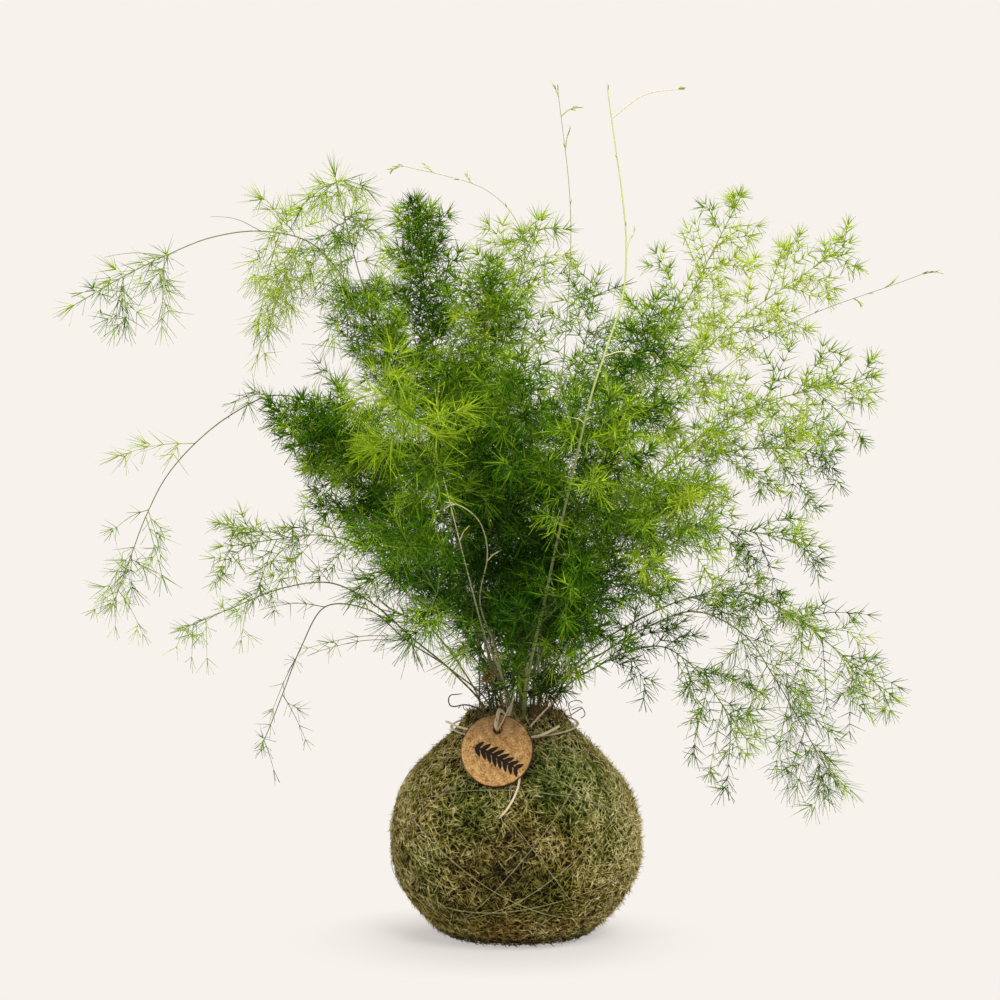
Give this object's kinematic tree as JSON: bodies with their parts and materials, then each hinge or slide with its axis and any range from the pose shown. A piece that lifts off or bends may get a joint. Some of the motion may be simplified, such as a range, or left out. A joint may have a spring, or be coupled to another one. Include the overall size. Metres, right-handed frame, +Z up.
{
  "type": "kokedama moss ball plant",
  "caption": "Moss-wrapped soil ball with a flat base and a fern-like plant of arching, needle-leaved stems growing from its neck; a round wooden tag hangs from raffia.",
  "frame": {"origin": "centre of the moss ball's flat base, on the surface that it stands on", "axes": "+Z up; -Y towards the side where the tag hangs; +X to the right as seen from that side"},
  "size_m": [0.4476, 0.3282, 0.4392],
  "materials": {
    "soil": "moist dark soil",
    "root": "pale fleshy root",
    "moss": "dried olive moss",
    "thread": "thin pale thread",
    "raffia": "dry raffia",
    "tag_wood": "sanded slice with a burnt edge",
    "dark_green": "soft green needles",
    "mid_green": "soft green needles",
    "lime_green": "young yellow-green needles",
    "young_stem": "pale green stem",
    "dead_stem": "dry brown stem"
  },
  "bodies": {
    "root": {"soil_ball": "soil", "root_crown": "root", "moss_cover": "moss", "winding_thread": "thread", "name_tag": "tag_wood", "raffia_tie": "raffia", "frond_arching_left": "mid_green", "frond_riser_left": "mid_green", "frond_long_arch_left": "mid_green", "frond_low_left": "mid_green", "frond_hanging_left": "mid_green", "frond_layered_left": "dark_green", "frond_side_left": "mid_green", "frond_spire": "dark_green", "frond_round_top": "dark_green", "frond_middle_top": "mid_green", "frond_middle_back": "mid_green", "frond_middle_right": "mid_green", "frond_lime_right": "lime_green", "frond_high_right": "lime_green", "frond_outer_right": "lime_green", "frond_back_right": "mid_green", "frond_front_right": "mid_green", "frond_low_arch_right": "mid_green", "frond_hanging_right": "mid_green", "frond_low_right": "mid_green", "frond_lime_front": "lime_green", "frond_front_middle": "mid_green", "frond_front_high": "mid_green", "frond_front_side": "mid_green", "frond_front_left": "mid_green", "frond_front_low": "dark_green", "frond_back_left": "mid_green", "frond_back_middle": "mid_green", "frond_back_side": "mid_green", "frond_back_low": "mid_green", "bare_shoot_tall": "young_stem", "bare_shoot_thin": "young_stem", "budding_twig": "young_stem", "trailing_twig": "young_stem", "pale_stem_straight": "young_stem", "pale_stem_curly": "young_stem", "dead_stem_left": "dead_stem", "dead_stem_middle": "dead_stem", "dead_stem_curled": "dead_stem", "dead_spray": "dead_stem"}
  },
  "joints": []
}
